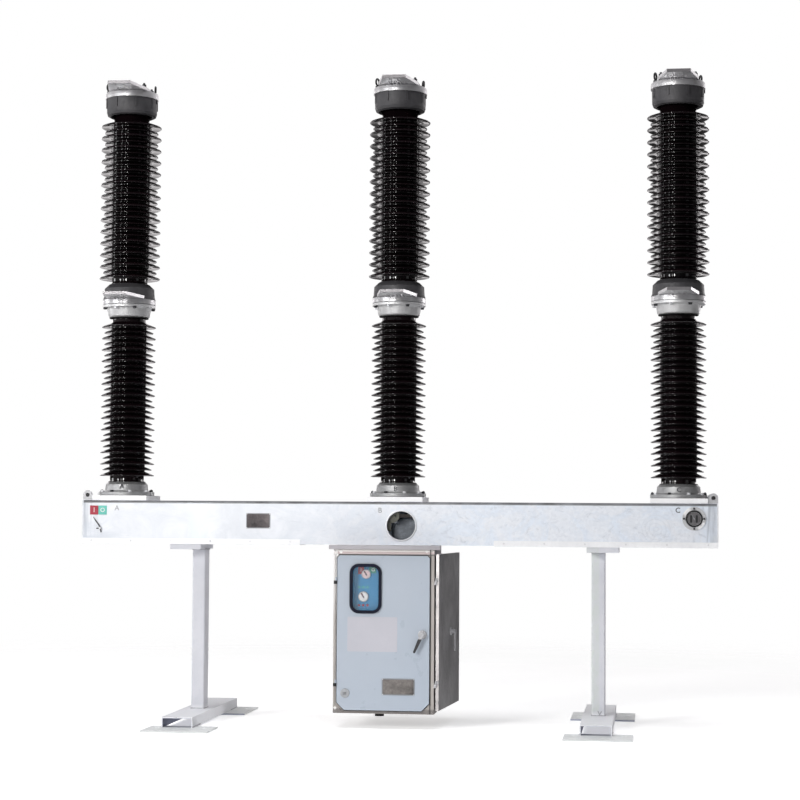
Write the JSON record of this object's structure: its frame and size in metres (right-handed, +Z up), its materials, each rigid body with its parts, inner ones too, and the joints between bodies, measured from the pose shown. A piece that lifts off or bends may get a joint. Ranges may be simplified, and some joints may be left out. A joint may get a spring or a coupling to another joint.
{
  "type": "gas insulated breaker",
  "caption": "Outdoor live-tank gas insulated circuit breaker: dark porcelain poles on a galvanised beam, with legs on flat feet and a hanging drive cabinet with hinged doors.",
  "frame": {"origin": "on the ground under the middle pole, at the centre of the footprint", "axes": "+X along the beam to the viewer's right when facing the cabinet door, +Y to the back, +Z up"},
  "size_m": [3.86, 1.58, 3.95],
  "materials": {
    "galvanised": "hot-dip galvanised",
    "painted_legs": "pale grey paint",
    "cast_aluminium": "cast, matt",
    "terminal_aluminium": "machined",
    "dark_fitting": "satin dark grey",
    "porcelain": "glossy dark brown glaze",
    "stainless": "satin stainless",
    "door_paint": "satin blue-grey paint",
    "dark_stainless": "stainless, in shade",
    "rubber_rim": "navy rubber",
    "window_glass": "clear",
    "panel_blue": "satin blue paint",
    "dial_white": "moulded",
    "black_plastic": "moulded",
    "grey_plastic": "moulded",
    "chrome": "bright",
    "cast_iron": "painted casting"
  },
  "bodies": {
    "stand": {"foot_plates": "painted_legs", "foot_channel_left": "painted_legs", "foot_channel_right": "painted_legs", "leg_left": "painted_legs", "leg_right": "painted_legs", "leg_top_plates": "painted_legs", "beam_channel": "galvanised", "beam_end_plates": "galvanised", "bottom_cover_left": "galvanised", "bottom_cover_right": "galvanised", "lifting_lugs": "galvanised", "pole_pads": "galvanised", "base_housings": "cast_aluminium", "support_insulators": "porcelain", "mid_housings": "cast_aluminium", "lower_terminals": "terminal_aluminium", "interrupter_feet": "dark_fitting", "interrupter_insulators": "porcelain", "head_housings": "dark_fitting", "head_caps": "terminal_aluminium", "head_covers": "cast_aluminium", "head_lifting_eyes": "galvanised", "gas_gauge": "cast_aluminium", "crank_housings": "cast_iron", "crank_levers": "galvanised", "link_rod": "galvanised", "cabinet_left_wall": "stainless", "cabinet_rear_wall": "stainless", "cabinet_floor": "stainless", "cabinet_roof": "stainless", "cabinet_flange": "stainless", "cabinet_front_frame": "stainless", "cabinet_side_frame": "stainless", "control_panel": "panel_blue", "panel_stays": "stainless", "panel_dials": "dial_white", "cable_gland": "black_plastic", "front_hinge_pins": "black_plastic", "side_hinge_pins": "chrome"},
    "front_door_body": {"front_door": "door_paint", "window_rim": "rubber_rim", "window_glass": "window_glass", "vent_cap": "grey_plastic", "front_hinge_knuckles": "black_plastic", "front_handle_base": "chrome"},
    "front_handle_body": {"front_handle": "chrome"},
    "side_door_body": {"side_door": "dark_stainless", "side_hinge_knuckles": "chrome", "side_handle_base": "chrome"},
    "side_handle_body": {"side_handle": "chrome"}
  },
  "joints": [
    {"name": "front_door_hinge", "type": "hinge", "parent": "stand", "child": "front_door_body", "pos_m": [-0.3205, -0.357, 0.56], "axis": [0, 0, 1], "range_deg": [-110, 0]},
    {"name": "front_handle_turn", "type": "hinge", "parent": "front_door_body", "child": "front_handle_body", "pos_m": [0.196, -0.352, 0.556], "axis": [0, 1, 0], "range_deg": [-24, 66]},
    {"name": "side_door_hinge", "type": "hinge", "parent": "stand", "child": "side_door_body", "pos_m": [0.276, -0.352, 0.56], "axis": [0, 0, 1], "range_deg": [-100, 4.5]},
    {"name": "side_handle_turn", "type": "hinge", "parent": "side_door_body", "child": "side_handle_body", "pos_m": [0.32349, 0.0475, 0.556], "axis": [0.9969, -0.0785, 0], "range_deg": [-90, 0]}
  ]
}
